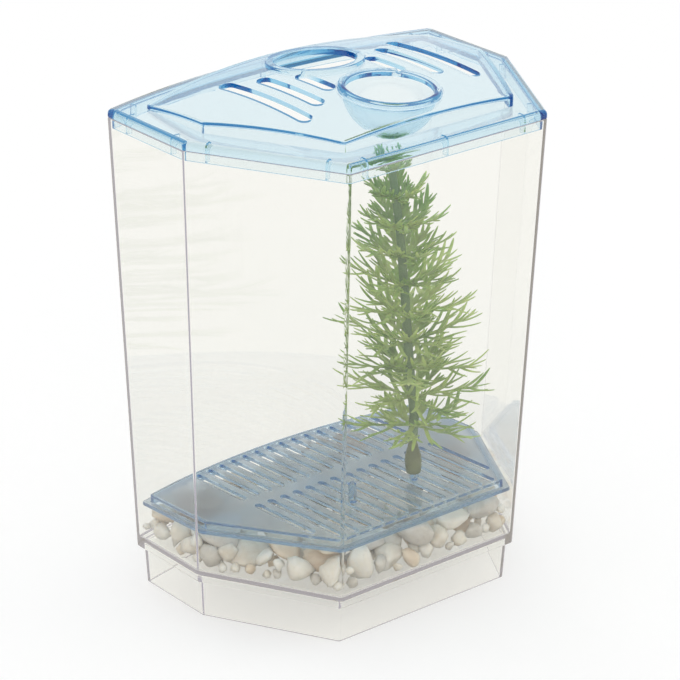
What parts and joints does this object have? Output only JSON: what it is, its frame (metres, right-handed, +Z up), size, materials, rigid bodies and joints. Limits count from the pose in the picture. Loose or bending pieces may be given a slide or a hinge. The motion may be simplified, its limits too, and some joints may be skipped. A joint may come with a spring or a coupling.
{
  "type": "fish breeding box",
  "caption": "Clear six-sided small fish tank on an inset base, with a domed vented lid, lift-out feeding cup, slotted plate, pebbles and a moulded water plant.",
  "frame": {"origin": "on the ground under the middle of the rim's bounding box", "axes": "+Z up; -Y towards the short front wall, +Y towards the long bowed back wall; +X to the right seen from the front"},
  "size_m": [0.153, 0.1094, 0.2021],
  "materials": {
    "tank_clear": "clear, polished moulding with a faint warm tint",
    "lid_blue": "clear blue, polished moulding",
    "plate_blue": "clear grey-blue, polished moulding",
    "leaf_green": "soft moulded plastic, satin",
    "stem_green": "dark grey-green plastic, satin",
    "foot_olive": "olive plastic, satin",
    "pebble_white": "white natural stone, matt",
    "pebble_pale": "pale natural stone, matt",
    "pebble_cream": "cream natural stone, matt",
    "pebble_grey": "grey natural stone, matt",
    "pebble_tan": "tan natural stone, matt"
  },
  "bodies": {
    "tank": {"tank": "tank_clear", "pebble_01": "pebble_cream", "pebble_02": "pebble_pale", "pebble_03": "pebble_grey", "pebble_04": "pebble_tan", "pebble_05": "pebble_cream", "pebble_06": "pebble_grey", "pebble_07": "pebble_white", "pebble_08": "pebble_cream", "pebble_09": "pebble_pale", "pebble_10": "pebble_grey", "pebble_11": "pebble_tan", "pebble_12": "pebble_cream", "pebble_13": "pebble_grey", "pebble_14": "pebble_white", "pebble_15": "pebble_cream", "pebble_16": "pebble_pale", "pebble_17": "pebble_grey", "pebble_18": "pebble_tan", "pebble_19": "pebble_cream", "pebble_20": "pebble_grey", "pebble_21": "pebble_white", "pebble_22": "pebble_cream", "pebble_23": "pebble_pale", "pebble_24": "pebble_grey", "pebble_25": "pebble_tan", "pebble_26": "pebble_cream", "pebble_27": "pebble_grey", "pebble_28": "pebble_white", "pebble_29": "pebble_cream", "pebble_30": "pebble_pale", "pebble_31": "pebble_grey", "pebble_32": "pebble_tan", "pebble_33": "pebble_cream", "pebble_34": "pebble_grey", "pebble_35": "pebble_white", "pebble_36": "pebble_cream", "pebble_37": "pebble_pale", "pebble_38": "pebble_grey", "pebble_39": "pebble_tan", "pebble_40": "pebble_cream", "pebble_41": "pebble_grey", "pebble_42": "pebble_white", "pebble_43": "pebble_cream"},
    "lid": {"lid": "lid_blue"},
    "feeding_cup": {"feeding_cup": "lid_blue"},
    "slotted_plate": {"slotted_plate": "plate_blue"},
    "plant": {"plant_foot": "foot_olive", "plant_stem": "stem_green", "leaf_whorl_1": "leaf_green", "leaf_whorl_2": "leaf_green", "leaf_whorl_3": "leaf_green", "leaf_whorl_4": "leaf_green", "leaf_whorl_5": "leaf_green", "leaf_whorl_6": "leaf_green", "leaf_whorl_7": "leaf_green", "leaf_whorl_8": "leaf_green", "leaf_whorl_9": "leaf_green", "leaf_whorl_10": "leaf_green"}
  },
  "joints": [
    {"name": "lid_lift", "type": "slide", "parent": "tank", "child": "lid", "axis": [0, 0, 1], "range_m": [0, 0.15]},
    {"name": "cup_lift", "type": "slide", "parent": "lid", "child": "feeding_cup", "axis": [0, -0.0814, 0.9967], "range_m": [0, 0.06]},
    {"name": "plate_lift", "type": "slide", "parent": "tank", "child": "slotted_plate", "axis": [0, 0, 1], "range_m": [0, 0.003]},
    {"name": "plant_lift", "type": "slide", "parent": "slotted_plate", "child": "plant", "axis": [0, 0.0576, 0.9983], "range_m": [0, 0.0015]}
  ]
}
